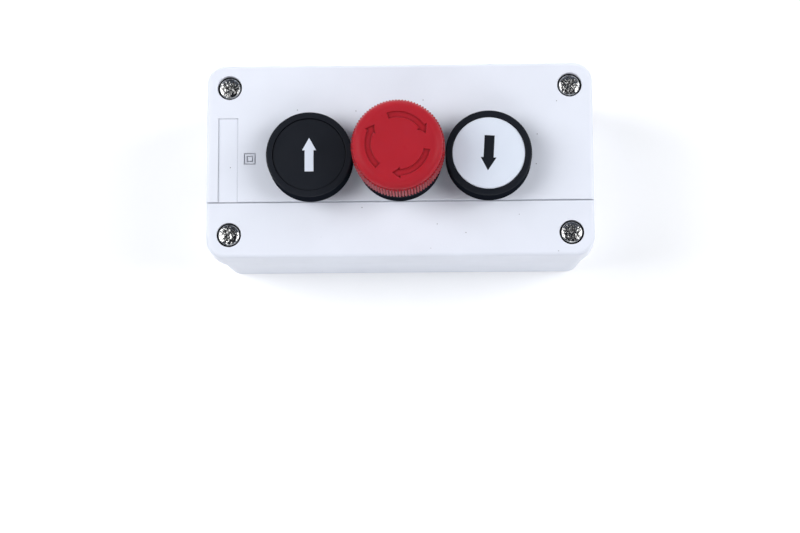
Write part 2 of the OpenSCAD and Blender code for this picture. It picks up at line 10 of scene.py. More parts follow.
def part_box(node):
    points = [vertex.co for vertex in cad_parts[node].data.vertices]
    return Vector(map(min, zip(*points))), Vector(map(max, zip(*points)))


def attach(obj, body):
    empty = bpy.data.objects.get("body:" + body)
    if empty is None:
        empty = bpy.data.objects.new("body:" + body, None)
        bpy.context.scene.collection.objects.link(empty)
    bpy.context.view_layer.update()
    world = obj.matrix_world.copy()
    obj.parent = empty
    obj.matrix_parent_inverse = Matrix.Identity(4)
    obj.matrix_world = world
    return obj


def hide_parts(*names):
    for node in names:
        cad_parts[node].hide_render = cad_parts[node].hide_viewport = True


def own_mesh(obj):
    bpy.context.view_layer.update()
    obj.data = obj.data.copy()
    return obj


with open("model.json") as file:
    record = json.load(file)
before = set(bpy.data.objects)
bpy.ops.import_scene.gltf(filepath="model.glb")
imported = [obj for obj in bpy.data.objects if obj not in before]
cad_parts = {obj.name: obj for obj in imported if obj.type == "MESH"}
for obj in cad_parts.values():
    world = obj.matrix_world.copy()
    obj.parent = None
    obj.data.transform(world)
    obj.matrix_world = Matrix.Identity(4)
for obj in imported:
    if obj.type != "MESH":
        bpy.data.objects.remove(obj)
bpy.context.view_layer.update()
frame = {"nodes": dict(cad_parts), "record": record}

# Lengths in this script are millimetres. The frame, the lights and the names in _M are in metres.
MM = 0.001
scene = bpy.context.scene


def box_mm(node):
    """The low and the high corner of a CAD node, in millimetres."""
    low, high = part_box(node)
    return low / MM, high / MM


# ------------------------------------------------------------------ places taken from the frame

cover_low, cover_high = box_mm("front_cover")
screws_low, screws_high = box_mm("cover_screws")
up_low, up_high = box_mm("up_bezel")
down_low, down_high = box_mm("down_bezel")
cap_low, cap_high = box_mm("up_cap")
inlay_low, inlay_high = box_mm("up_arrow")
head_low, head_high = box_mm("stop_head")

# the case and its cover
CASE_W = cover_high.x - cover_low.x
CASE_H = cover_high.y - cover_low.y
PANEL_Z = cover_high.z
SPLIT_Z = cover_low.z
PANEL_T = 3.0
INNER_Z = PANEL_Z - PANEL_T
CORNER_R = 6.3
EDGE_R = 1.4
EDGE_STEPS = 8
WALL = 4.2

# the cover's screws, the bores they stand in and the scoops that clear their posts
SCREW_HEAD_R = 3.6
SCREW_X = screws_high.x - SCREW_HEAD_R
SCREW_Y = screws_high.y - SCREW_HEAD_R
SCREW_TOP = screws_high.z
SCREW_TIP = screws_low.z
SCREW_SEAT = box_mm("screw_seals")[0].z
SINK_R = 4.15
SINK_RIM = 0.2
SINK_STEPS = 72
SCREW_BORE_R = 2.1
SCOOP_R = 8.0
SCOOP_STEPS = 12

# the lower strip, the label field and the mark on the front
STRIP_Y = -14.2
STRIP_DROP = 0.8
STRIP_CHAMFER = 0.15
STRIP_GROOVE_W = 0.38
STRIP_GROOVE_D = 0.5
LABEL_X = (-61.5, -54.8)
LABEL_TOP = 14.7
LABEL_DROP = 0.5
LABEL_PAST_STEP = 0.6
LABEL_CHAMFER = 0.08
MARK_AT = (-50.7, 0.6)
MARK_SIDES = (3.6, 1.8)
MARK_LINE = 0.4
MARK_D = 0.55

# the button heads
HOLE_R = 11.25
HOLE_STEPS = 96
UP_X = (up_low.x + up_high.x) / 2
DOWN_X = (down_low.x + down_high.x) / 2
BEZEL_R = (up_high.x - up_low.x) / 2
BEZEL_TOP = up_high.z
BARREL_LOW = up_low.z
CAP_R = (cap_high.x - cap_low.x) / 2
CAP_TOP = cap_high.z
CAP_LOW = cap_low.z
INLAY_D = inlay_high.z - inlay_low.z

# the stop head and its bezel
GUARD_TOP = box_mm("stop_bezel")[1].z
HEAD_R = (head_high.x - head_low.x) / 2
HEAD_TOP = head_high.z
HEAD_LOW = PANEL_Z + 11.6
HUB_LOW = head_low.z

# how far a cutter stands out of the face it cuts
CLEAR = 1.0


# ------------------------------------------------------------------ camera

CAMERA_DISTANCE = 684.8
CAMERA_AZIMUTH = -80.52
CAMERA_ELEVATION = 80.97
CAMERA_ROLL = -0.24
CAMERA_LENS = 91.93
CAMERA_SENSOR = 36.0
CAMERA_RANGE_M = (0.01, 20.0)
AIM = Vector((0.0, -36.7, PANEL_Z))


def make_camera():
    azimuth, elevation = math.radians(CAMERA_AZIMUTH), math.radians(CAMERA_ELEVATION)
    out = Vector((
        math.cos(elevation) * math.cos(azimuth),
        math.cos(elevation) * math.sin(azimuth),
        math.sin(elevation),
    ))
    right = Vector((0, 1, 0)).cross(out).normalized()
    upward = out.cross(right)
    turn = Matrix((right, upward, out)).transposed().to_4x4()
    roll = Matrix.Rotation(math.radians(CAMERA_ROLL), 4, "Z")
    data = bpy.data.cameras.new("camera")
    data.sensor_width = CAMERA_SENSOR
    data.lens = CAMERA_LENS
    data.clip_start, data.clip_end = CAMERA_RANGE_M
    camera = bpy.data.objects.new("camera", data)
    scene.collection.objects.link(camera)
    camera.matrix_world = Matrix.Translation((AIM + out * CAMERA_DISTANCE) * MM) @ turn @ roll
    scene.camera = camera


make_camera()


# ------------------------------------------------------------------ materials

# samples of the bevel and occlusion nodes
SOFT_SAMPLES = 4

# how far the true normal turns from the rounded one on an edge, as cosines: none worn, all worn
EDGE_DOT = (0.99, 0.80)

# light left in a groove that counts as deep
CAVITY_DARK = 0.45

# inner edge of a speck, as a share of its radius
SPECK_CORE = 0.6

# plastic: sizes of the slow colour drift, the sheen's clouds and the swell of the faces
DRIFT_SIZE = 18.0
SHEEN_SIZE = 6.0
SHEEN_SPREAD = 0.05
SWELL_SIZE = 9.0

# plastic: how strongly the swell and the grain show, and how light the grain's tint is
SWELL_STRENGTH = 0.6
GRAIN_STRENGTH = 0.8
GRAIN_SHADE = 1.15

# plastic: width, gloss and paleness of a rubbed edge, darkness of the shade painted into a groove
# and radius of all edges
RUBBED_WIDTH = 0.25
RUBBED_GLOSS = 0.08
RUBBED_PALE = 0.5
PAINTED_GROOVE_SHADE = 0.35
PLASTIC_ROUND = 0.12

# plastic: facing values between which a matte one loses its sheen
MATTE_FACING = (0.30, 0.78)

# plastic: how far light goes into a glowing one, as a colour's share of a depth
GLOW_REACH = (1.0, 0.15, 0.1)
GLOW_DEPTH = 1.2

# metal: radius of all edges, roughness added by a dull patch, and the scratches
METAL_ROUND = 0.08
METAL_CLOUDS = 0.15
SCRATCH_STRETCH = 8.0
SCRATCH_STRENGTH = 0.5

# middle band of a noise, spread over its whole range
NOISE_BAND = (0.3, 0.7)
CLOUD_BAND = (0.4, 0.75)


class Shader:
    """A small wrapper that adds and links nodes of one material."""

    def __init__(self, name):
        self.material = bpy.data.materials.new(name)
        self.material.use_nodes = True
        self.tree = self.material.node_tree
        self.tree.nodes.clear()
        self.out = self.node("ShaderNodeOutputMaterial")
        self.surface = self.node("ShaderNodeBsdfPrincipled")
        self.join(self.surface.outputs[0], self.out.inputs[0])
        self.place = self.node("ShaderNodeTexCoord").outputs["Object"]

    def node(self, kind, **settings):
        made = self.tree.nodes.new(kind)
        for key, value in settings.items():
            setattr(made, key, value)
        return made

    def join(self, source, target):
        self.tree.links.new(source, target)

    def noise(self, size, detail=3.0, roughness=0.55):
        """Noise between about 0 and 1 whose features are size millimetres across."""
        made = self.node("ShaderNodeTexNoise")
        made.inputs["Scale"].default_value = 1.0 / (size * MM)
        made.inputs["Detail"].default_value = detail
        made.inputs["Roughness"].default_value = roughness
        self.join(self.place, made.inputs["Vector"])
        return made.outputs["Fac"]

    def remap(self, value, low, high, to_low=0.0, to_high=1.0):
        made = self.node("ShaderNodeMapRange")
        ends = {"From Min": low, "From Max": high, "To Min": to_low, "To Max": to_high}
        for key, number in ends.items():
            made.inputs[key].default_value = number
        self.join(value, made.inputs["Value"])
        return made.outputs["Result"]

    def math(self, operation, a, b):
        made = self.node("ShaderNodeMath", operation=operation)
        for socket, value in zip(made.inputs, (a, b)):
            if isinstance(value, (int, float)):
                socket.default_value = value
            else:
                self.join(value, socket)
        return made.outputs[0]

    def mix(self, factor, a, b):
        made = self.node("ShaderNodeMix", data_type="RGBA")
        sockets = (made.inputs["Factor"], made.inputs[6], made.inputs[7])
        for socket, value in zip(sockets, (factor, a, b)):
            if isinstance(value, (int, float)):
                socket.default_value = value
            elif isinstance(value, tuple):
                socket.default_value = (*value, 1.0)
            else:
                self.join(value, socket)
        return made.outputs[2]

    def rounded(self, radius):
        """The normal of a face whose edges were rounded."""
        made = self.node("ShaderNodeBevel", samples=SOFT_SAMPLES)
        made.inputs["Radius"].default_value = radius * MM
        return made.outputs[0]

    def edge(self, width):
        """1 on the object's edges, 0 on its flats: the true normal against a rounded one."""
        flat = self.node("ShaderNodeNewGeometry").outputs["Normal"]
        dot = self.node("ShaderNodeVectorMath", operation="DOT_PRODUCT")
        self.join(self.rounded(width), dot.inputs[0])
        self.join(flat, dot.inputs[1])
        return self.remap(dot.outputs["Value"], *EDGE_DOT)

    def cavity(self, reach):
        """1 deep in grooves, 0 on open faces."""
        made = self.node("ShaderNodeAmbientOcclusion", samples=SOFT_SAMPLES, only_local=True)
        made.inputs["Distance"].default_value = reach * MM
        return self.remap(made.outputs["AO"], 1.0, CAVITY_DARK)

    def specks(self, spacing, share, radius):
        """Round specks of one radius, in a share of the cells of a grid with that spacing."""
        cells = self.node("ShaderNodeTexVoronoi")
        cells.inputs["Scale"].default_value = 1.0 / (spacing * MM)
        self.join(self.place, cells.inputs["Vector"])
        rim = radius / spacing
        near = self.remap(cells.outputs["Distance"], rim, SPECK_CORE * rim)
        pick = self.node("ShaderNodeSeparateColor")
        self.join(cells.outputs["Color"], pick.inputs[0])
        chosen = self.math("LESS_THAN", pick.outputs[0], share)
        return self.math("MULTIPLY", near, chosen)

    def bump(self, height, depth, strength=1.0, onto=None):
        made = self.node("ShaderNodeBump")
        made.inputs["Strength"].default_value = strength
        made.inputs["Distance"].default_value = depth * MM
        self.join(height, made.inputs["Height"])
        if onto is not None:
            self.join(onto, made.inputs["Normal"])
        return made.outputs["Normal"]

    def feed(self, socket, value):
        target = self.surface.inputs[socket]
        if isinstance(value, (int, float)):
            target.default_value = value
        elif isinstance(value, tuple):
            target.default_value = (*value, 1.0)
        else:
            self.join(value, target)


def scaled(colour, factor):
    """A colour made lighter or darker."""
    return tuple(min(1.0, c * factor) for c in colour)


def plastic(name, colour, rough, grain=0.25, depth=0.006, mottle=0.04, worn=0.12, dust=None,
            specular=0.5, groove_shade=None, matte=False, glow=0.0):
    """Moulded plastic: fine grain, slow colour drift, rubbed edges, dust and painted shade in its
    grooves.

    dust is the specks' spacing, share of the cells, radius, colour and strength. groove_shade is
    the reach and the darkness of the shade painted into the grooves. matte takes the sheen off at
    grazing angles, and glow lets light into the plastic.
    """
    s = Shader(name)
    drift = s.remap(s.noise(DRIFT_SIZE, 2.0), *NOISE_BAND)
    fine = s.remap(s.noise(grain * 3, 4.0), *NOISE_BAND)
    tint = s.mix(drift, scaled(colour, 1.0 - mottle), scaled(colour, 1.0 + mottle / 2))
    tint = s.mix(s.math("MULTIPLY", fine, mottle), tint, scaled(colour, GRAIN_SHADE))
    rubbed = s.edge(RUBBED_WIDTH)
    pale = tuple((1 - RUBBED_PALE) * c + RUBBED_PALE * max(colour) for c in colour)
    tint = s.mix(s.math("MULTIPLY", rubbed, worn), tint, pale)
    # painted shade: the colour darkens in grooves and hollows that the occlusion mask finds
    if groove_shade:
        reach, darkness = groove_shade
        grooves = s.math("MULTIPLY", s.cavity(reach), darkness)
        tint = s.mix(grooves, tint, scaled(colour, PAINTED_GROOVE_SHADE))
    if dust:
        spacing, share, radius, dust_colour, strength = dust
        dots = s.specks(spacing, share, radius)
        tint = s.mix(s.math("MULTIPLY", dots, strength), tint, dust_colour)
    s.feed("Base Color", tint)
    glossy, dull = rough - SHEEN_SPREAD, rough + SHEEN_SPREAD
    sheen = s.remap(s.noise(SHEEN_SIZE, 3.0), *NOISE_BAND, glossy, dull)
    s.feed("Roughness", s.math("SUBTRACT", sheen, s.math("MULTIPLY", rubbed, RUBBED_GLOSS)))
    if matte:
        facing = s.node("ShaderNodeLayerWeight").outputs["Facing"]
        specular = s.remap(facing, *MATTE_FACING, specular, 0.0)
    s.feed("Specular IOR Level", specular)
    if glow:
        s.feed("Subsurface Weight", glow)
        s.surface.inputs["Subsurface Radius"].default_value = GLOW_REACH
        s.feed("Subsurface Scale", GLOW_DEPTH * MM)
    swell = s.bump(s.noise(SWELL_SIZE, 2.0), depth, SWELL_STRENGTH, s.rounded(PLASTIC_ROUND))
    s.feed("Normal", s.bump(s.noise(grain, 3.0), depth, GRAIN_STRENGTH, swell))
    return s


def metal(name, colour, rough, brushed=0.12, depth=0.004, tarnish_and_dark_reflection=(0.2, 0.2, 0.2), amount=0.2,
          size=2.5, dents=None):
    """Plated or stamped metal: fine scratches, cloudy roughness and dull patches.

    size is that of the patches, which are real tarnish on most metals and painted dark reflections
    on plated steel. dents is the size and the depth of small dents.
    """
    s = Shader(name)
    stretch = s.node("ShaderNodeMapping")
    stretch.inputs["Scale"].default_value = (1.0, SCRATCH_STRETCH, SCRATCH_STRETCH)
    s.join(s.place, stretch.inputs["Vector"])
    clouds = s.remap(s.noise(size, 4.0), *CLOUD_BAND)
    normal = s.rounded(METAL_ROUND)
    if dents:
        dent_size, dent_depth = dents
        normal = s.bump(s.noise(dent_size, 1.0), dent_depth, 1.0, normal)
    s.place = stretch.outputs["Vector"]
    scratches = s.noise(brushed * 8, 2.0)
    s.feed("Metallic", 1.0)
    # patches: real tarnish on most metals; on plated steel they are near-black painted dark
    # reflections
    s.feed("Base Color", s.mix(s.math("MULTIPLY", clouds, amount), colour, tarnish_and_dark_reflection))
    s.feed("Roughness", s.remap(clouds, 0.0, 1.0, rough, rough + METAL_CLOUDS))
    s.feed("Normal", s.bump(scratches, depth, SCRATCH_STRENGTH, normal))
    return s


CASE_WHITE = (0.780, 0.808, 0.885)
BLACK = (0.0100, 0.0122, 0.0175)
STOP_RED = (0.425, 0.0205, 0.0325)
BUTTON_WHITE = (0.74, 0.80, 0.895)
DUST_DARK = (0.10, 0.10, 0.12)
DUST_PALE = (0.12, 0.13, 0.15)

MATERIALS = {
    # case_white: shade is painted into its label field, mark lines and strip groove
    "case_white": plastic(
        "case_white", CASE_WHITE, 0.46, mottle=0.025, worn=0.05,
        dust=(5.0, 0.7, 0.22, DUST_DARK, 0.8), groove_shade=(0.5, 0.5)),
    "seal_rubber": plastic(
        "seal_rubber", (0.008, 0.008, 0.009), 0.75, grain=0.4, depth=0.01, specular=0.3),
    # plated_steel: the near-black patches are painted dark reflections
    "plated_steel": metal(
        "plated_steel", (0.74, 0.74, 0.73), 0.10, amount=1.0, tarnish_and_dark_reflection=(0.02, 0.02, 0.02),
        size=1.1, dents=(0.9, 0.20)),
    "zinc_steel": metal("zinc_steel", (0.58, 0.59, 0.62), 0.32),
    "spring_steel": metal("spring_steel", (0.50, 0.50, 0.52), 0.28),
    "black_plastic": plastic(
        "black_plastic", BLACK, 0.36, worn=0.02, mottle=0.12, specular=0.14, matte=True,
        dust=(3.0, 0.4, 0.08, DUST_PALE, 0.35)),
    "black_cap": plastic(
        "black_cap", BLACK, 0.40, worn=0.02, mottle=0.12, specular=0.14, matte=True,
        dust=(3.0, 0.5, 0.09, DUST_PALE, 0.35)),
    "white_plastic": plastic(
        "white_plastic", BUTTON_WHITE, 0.38, mottle=0.02, worn=0.05,
        dust=(5.0, 0.6, 0.14, DUST_DARK, 0.5)),
    "natural_plastic": plastic("natural_plastic", (0.62, 0.62, 0.56), 0.5),
    # stop_red: shade is painted into the turn arrows and between the ribs
    "stop_red": plastic(
        "stop_red", STOP_RED, 0.32, mottle=0.05, worn=0.06, depth=0.005, specular=0.06,
        groove_shade=(1.1, 0.7), glow=0.4),
    "block_grey": plastic("block_grey", (0.045, 0.048, 0.055), 0.5, mottle=0.1),
    "make_green": plastic("make_green", (0.01, 0.16, 0.05), 0.45),
    "break_red": plastic("break_red", (0.35, 0.012, 0.01), 0.45),
    "contact_brass": metal(
        "contact_brass", (0.72, 0.52, 0.22), 0.25, tarnish_and_dark_reflection=(0.30, 0.18, 0.07), amount=0.3),
}


# ------------------------------------------------------------------ mesh building

# a radius under this is a point on the axis, and an edge under this is no edge
ON_AXIS = 1e-6
NO_EDGE = 1e-5


def arc(cx, cy, rx, ry, start, end, steps):
    """Points of an elliptical arc between two angles in degrees."""
    points = []
    for i in range(steps + 1):
        a = math.radians(start + (end - start) * i / steps)
        points.append((cx + rx * math.cos(a), cy + ry * math.sin(a)))
    return points


def ladder(bm, rings, closed_profile):
    """Skins a list of rings of vertices. A ring of one vertex is a point on the axis."""
    pairs = list(zip(rings, rings[1:]))
    if closed_profile:
        pairs.append((rings[-1], rings[0]))
    for a, b in pairs:
        count = max(len(a), len(b))
        for j in range(count):
            k = (j + 1) % count
            corners = [a[j % len(a)], a[k % len(a)], b[k % len(b)], b[j % len(b)]]
            face = list(dict.fromkeys(corners))
            if len(face) > 2:
                bm.faces.new(face)


def lathe(profile, steps, at=(0.0, 0.0), closed=True, shift=None):
    """Turns a profile of (radius, height) points about an upright axis.

    shift(r, z, angle) may move a point.
    """
    bm = bmesh.new()
    rings = []
    for r, z in profile:
        ring = []
        for j in range(steps if r > ON_AXIS else 1):
            a = 2 * math.pi * j / steps
            rr, zz = shift(r, z, a) if shift else (r, z)
            ring.append(bm.verts.new((at[0] + rr * math.cos(a), at[1] + rr * math.sin(a), zz)))
        rings.append(ring)
    ladder(bm, rings, closed)
    bmesh.ops.recalc_face_normals(bm, faces=bm.faces)
    return bm


def rounded_rectangle(w, h, r, steps=12):
    """Points of a rectangle about the origin with rounded corners."""
    points = []
    for cx, cy, start in ((1, 1, 0), (-1, 1, 90), (-1, -1, 180), (1, -1, 270)):
        points += arc(cx * (w / 2 - r), cy * (h / 2 - r), r, r, start, start + 90, steps)
    return points


def loft(outlines):
    """A closed solid through outlines of equal point counts: [(points, z), ...]."""
    bm = bmesh.new()
    rings = [[bm.verts.new((x, y, z)) for x, y in points] for points, z in outlines]
    ladder(bm, rings, False)
    bm.faces.new(rings[0])
    bm.faces.new(rings[-1])
    bmesh.ops.recalc_face_normals(bm, faces=bm.faces)
    return bm


def grown(points, grow):
    """An outline whose points have moved away from its middle by the same step in x and in y."""
    mid_x = sum(p[0] for p in points) / len(points)
    mid_y = sum(p[1] for p in points) / len(points)
    moved = []
    for x, y in points:
        moved.append((x + math.copysign(grow, x - mid_x), y + math.copysign(grow, y - mid_y)))
    return moved


def prism(points, low, high, at=(0.0, 0.0), turn=0.0):
    """A straight prism on an outline that is turned by an angle in degrees and put in its place."""
    c, s = math.cos(math.radians(turn)), math.sin(math.radians(turn))
    placed = [(at[0] + x * c - y * s, at[1] + x * s + y * c) for x, y in points]
    return loft([(placed, low), (placed, high)])


def flared_prism(points, low, rim, high, flare):
    """A cutter that leaves a chamfer: its outline grows by flare just under the rim."""
    wide = grown(points, flare)
    return loft([(points, low), (points, rim - flare), (wide, rim), (wide, high)])


def rectangle(x0, y0, x1, y1):
    return [(x0, y0), (x1, y0), (x1, y1), (x0, y1)]


def temporary(bm):
    """An object that only lives while a solid is carved."""
    mesh = bpy.data.meshes.new("temporary")
    bm.to_mesh(mesh)
    bm.free()
    made = bpy.data.objects.new("temporary", mesh)
    scene.collection.objects.link(made)
    return made


def carve(solid, tools):
    """One solid with a list of tools cut out of it by exact booleans."""
    base = temporary(solid)
    cutters = [temporary(t) for t in tools]
    for cutter in cutters:
        step = base.modifiers.new("step", "BOOLEAN")
        step.operation = "DIFFERENCE"
        step.solver = "EXACT"
        step.object = cutter
    bpy.context.view_layer.update()
    graph = bpy.context.evaluated_depsgraph_get()
    mesh = bpy.data.meshes.new_from_object(base.evaluated_get(graph))
    result = bmesh.new()
    result.from_mesh(mesh)
    bpy.data.meshes.remove(mesh)
    for thing in [base, *cutters]:
        data = thing.data
        bpy.data.objects.remove(thing)
        bpy.data.meshes.remove(data)
    return result


def merged(parts):
    """Several separate solids in one mesh."""
    result = bmesh.new()
    for part in parts:
        mesh = bpy.data.meshes.new("part")
        part.to_mesh(mesh)
        part.free()
        result.from_mesh(mesh)
        bpy.data.meshes.remove(mesh)
    return result


def smooth(mesh, angle=32.0):
    """Smooth shading, with edges over an angle in degrees left sharp."""
    mesh.shade_smooth()
    mesh.set_sharp_from_angle(angle=math.radians(angle))


def even_normals(made):
    even = made.modifiers.new("even_normals", "WEIGHTED_NORMAL")
    even.keep_sharp = True


def piece(name, bm, slot, body, *nodes):
    """Turns a mesh in millimetres into a finished piece that stands for CAD nodes."""
    mesh = bpy.data.meshes.new(name)
    bmesh.ops.dissolve_degenerate(bm, dist=NO_EDGE, edges=bm.edges)
    bm.to_mesh(mesh)
    bm.free()
    mesh.transform(Matrix.Scale(MM, 4))
    mesh.materials.append(MATERIALS[slot].material)
    smooth(mesh)
    made = bpy.data.objects.new(name, mesh)
    scene.collection.objects.link(made)
    even_normals(made)
    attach(made, body)
    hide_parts(*nodes)
    return made


# ------------------------------------------------------------------ front cover

def cover_skin(drop):
    """The cover's closed outside with its rounded rim, its face lowered by drop."""
    outlines = [(rounded_rectangle(CASE_W, CASE_H, CORNER_R), SPLIT_Z)]
    for inset, rise in arc(EDGE_R, 0, -EDGE_R, EDGE_R, 0, 90, EDGE_STEPS):
        outline = rounded_rectangle(CASE_W - 2 * inset, CASE_H - 2 * inset, CORNER_R - inset)
        outlines.append((outline, PANEL_Z - drop - EDGE_R + rise))
    return loft(outlines)


def scooped_outline(w, h, r):
    """The inside outline: a rectangle whose corners go round the screw posts."""
    points = []
    for sx, sy, start in ((1, 1, 270), (-1, 1, 0), (-1, -1, 90), (1, -1, 180)):
        bow = arc(sx * SCREW_X, sy * SCREW_Y, r, r, start, start - 90, SCOOP_STEPS)
        on_end = (sx * w / 2, sy * (SCREW_Y - r))
        on_side = (sx * (SCREW_X - r), sy * h / 2)
        points += [on_end, *bow, on_side] if sx * sy > 0 else [on_side, *bow, on_end]
    return points


def square_ring(side):
    """Four bars that engrave the outline of a square of the mark."""
    outer = (side + MARK_LINE) / 2
    inner = (side - MARK_LINE) / 2
    x, y = MARK_AT
    floor = PANEL_Z - MARK_D
    bars = [
        rectangle(x - outer, y + inner, x + outer, y + outer),
        rectangle(x - outer, y - outer, x + outer, y - inner),
        rectangle(x - outer, y - inner, x - inner, y + inner),
        rectangle(x + inner, y - inner, x + outer, y + inner),
    ]
    return [prism(bar, floor, PANEL_Z + CLEAR) for bar in bars]


def above_strip():
    """What stands above the lower strip: it is cut off along the strip's chamfered step."""
    side = [
        (STRIP_Y, INNER_Z), (STRIP_Y, PANEL_Z - STRIP_CHAMFER), (STRIP_Y + STRIP_CHAMFER, PANEL_Z),
        (STRIP_Y + STRIP_CHAMFER, PANEL_Z + 2 * CLEAR), (-CASE_H, PANEL_Z + 2 * CLEAR),
        (-CASE_H, INNER_Z),
    ]
    block = bmesh.new()
    ends = [[block.verts.new((x, y, z)) for y, z in side] for x in (-CASE_W, CASE_W)]
    ladder(block, ends, False)
    block.faces.new(ends[0])
    block.faces.new(ends[1])
    bmesh.ops.recalc_face_normals(block, faces=block.faces)
    return carve(block, [cover_skin(STRIP_DROP)])


def head_hole(x):
    """The hole for the barrel of a button head."""
    low, high = INNER_Z - CLEAR, PANEL_Z + CLEAR
    profile = [(0, low), (HOLE_R, low), (HOLE_R, high), (0, high)]
    return lathe(profile, HOLE_STEPS, (x, 0.0), closed=False)


def screw_hole(x, y):
    """The bore and the counterbore of a cover screw, with a rounded rim."""
    low, high = SPLIT_Z - CLEAR, PANEL_Z + CLEAR
    profile = [(0, low), (SCREW_BORE_R, low), (SCREW_BORE_R, SCREW_SEAT), (SINK_R, SCREW_SEAT)]
    profile += arc(SINK_R + SINK_RIM, PANEL_Z - SINK_RIM, SINK_RIM, SINK_RIM, 180, 90, 4)
    profile += [(SINK_R + SINK_RIM, high), (0, high)]
    return lathe(profile, SINK_STEPS, (x, y), closed=False)


def make_cover():
    groove = rectangle(-CASE_W, STRIP_Y - STRIP_GROOVE_W, CASE_W, STRIP_Y)
    inside = scooped_outline(CASE_W - 2 * WALL, CASE_H - 2 * WALL, SCOOP_R)
    label = rectangle(LABEL_X[0], STRIP_Y - LABEL_PAST_STEP, LABEL_X[1], LABEL_TOP)
    tools = [
        above_strip(),
        prism(groove, PANEL_Z - STRIP_DROP - STRIP_GROOVE_D, PANEL_Z),
        prism(inside, SPLIT_Z - CLEAR, INNER_Z),
        flared_prism(label, PANEL_Z - LABEL_DROP, PANEL_Z, PANEL_Z + CLEAR, LABEL_CHAMFER),
    ]
    tools += [head_hole(x) for x in (UP_X, 0.0, DOWN_X)]
    tools += [screw_hole(sx * SCREW_X, sy * SCREW_Y) for sx in (-1, 1) for sy in (-1, 1)]
    for side in MARK_SIDES:
        tools += square_ring(side)
    piece("front_cover_shell", carve(cover_skin(0), tools), "case_white", "station", "front_cover")


make_cover()


# ------------------------------------------------------------------ cover screws

# outlines and depths of the recess's wings, of the ticks between them and of the cone in the middle
WING = [(0, -0.55), (2.3, -0.36), (2.3, 0.36), (0, 0.55)]
WING_D = 1.5
TICK = [(0.9, -0.17), (2.55, -0.17), (2.55, 0.17), (0.9, 0.17)]
TICK_D = 0.6
CONE = [(0, -1.9), (0.95, -0.3), (1.25, CLEAR), (0, CLEAR)]
CONE_STEPS = 32

BOLT_L = 30.0
BOLT_R = 1.9
CORE_R = 1.62
BOLT_PITCH = 0.7
BOLT_FLANK = 0.3
SHANK_L = 3.2
THREAD_STOP = 4.0
SCREW_EDGE = 0.6
SCREW_EDGE_END = 72
SCREW_DOME = 0.25
DOME_STEPS = 6
SCREW_STEPS = 64
DICE_SEED = 11


def screw_head_cutters(turn):
    """A cross recess with tapered wings, and four short ticks between them."""
    tools = []
    for k in range(4):
        a = turn + 90 * k
        tools.append(prism(WING, SCREW_TOP - WING_D, SCREW_TOP + CLEAR, turn=a))
        tools.append(prism(TICK, SCREW_TOP - TICK_D, SCREW_TOP + CLEAR, turn=a + 45))
    tools.append(lathe([(r, SCREW_TOP + z) for r, z in CONE], CONE_STEPS, closed=False))
    return tools


def screw_profile():
    """From the bolt's tip up its thread to the head's flank, its rounded edge and its domed top."""
    under = SCREW_TIP + BOLT_L
    profile = [(0, SCREW_TIP), (CORE_R, SCREW_TIP)]
    z = SCREW_TIP + BOLT_FLANK
    while z < under - THREAD_STOP:
        profile += [(CORE_R, z), (BOLT_R, z + BOLT_FLANK), (CORE_R, z + 2 * BOLT_FLANK)]
        z += BOLT_PITCH
    profile += [(BOLT_R, under - SHANK_L), (BOLT_R, under), (SCREW_HEAD_R, under)]
    edge_z = SCREW_TOP - SCREW_DOME - SCREW_EDGE
    profile += arc(SCREW_HEAD_R - SCREW_EDGE, edge_z, SCREW_EDGE, SCREW_EDGE, 0, SCREW_EDGE_END, 8)
    shoulder_r, shoulder_z = profile[-1]
    for i in range(1, DOME_STEPS + 1):
        left = 1 - i / DOME_STEPS
        profile.append((shoulder_r * left, SCREW_TOP - (SCREW_TOP - shoulder_z) * left ** 2))
    return profile


def make_screws():
    dice = random.Random(DICE_SEED)
    parts = []
    for sx in (-1, 1):
        for sy in (-1, 1):
            blank = lathe(screw_profile(), SCREW_STEPS, closed=False)
            bolt = carve(blank, screw_head_cutters(dice.uniform(0, 90)))
            bmesh.ops.translate(bolt, verts=bolt.verts, vec=(sx * SCREW_X, sy * SCREW_Y, 0))
            parts.append(bolt)
    piece("cover_screws_detailed", merged(parts), "plated_steel", "station", "cover_screws")


make_screws()


# ------------------------------------------------------------------ button heads

BARREL_R = 11.0
BARREL_CHAMFER = 0.5
BORE_R = 9.6
LEDGE_R = 4.8
LEDGE_TOP = BARREL_LOW + 1.5

# the barrel's thread: its depth, its pitch and the heights of its turns above their start
THREAD_D = 0.45
THREAD_PITCH = 1.5
THREAD_START = 0.6
THREAD_STEPS = (0.6, 0.8, 1.4)
THREAD_CLEAR = 2.0

# the seal groove under the flange, and the flange
SEAL_RI, SEAL_RO, SEAL_D = 11.5, 13.4, 1.2
FLANGE_CHAMFER = 0.15
RIM_FILLET = 0.5
RING_STEPS = 160

# a bezel's cup and a cap
CUP_R = CAP_R + 0.15
CUP_FLOOR = PANEL_Z + 2.5
CUP_FILLET = 0.12
CAP_FILLET = 0.15
CAP_CHAMFER = 0.2
CAP_FACE_IN = 1.5


def barrel_outside():
    """From the foot of the barrel up its moulded thread to the seal groove under the flange."""
    profile = [(LEDGE_R, BARREL_LOW), (BARREL_R - BARREL_CHAMFER, BARREL_LOW)]
    z = BARREL_LOW + THREAD_START
    rise, crest, fall = THREAD_STEPS
    core = BARREL_R - THREAD_D
    while z < PANEL_Z - THREAD_CLEAR:
        profile += [(core, z), (BARREL_R, z + rise), (BARREL_R, z + crest), (core, z + fall)]
        z += THREAD_PITCH
    profile += [(BARREL_R, PANEL_Z), (SEAL_RI, PANEL_Z), (SEAL_RI, PANEL_Z + SEAL_D)]
    profile += [(SEAL_RO, PANEL_Z + SEAL_D), (SEAL_RO, PANEL_Z)]
    profile += [(BEZEL_R - FLANGE_CHAMFER, PANEL_Z), (BEZEL_R, PANEL_Z + FLANGE_CHAMFER)]
    return profile


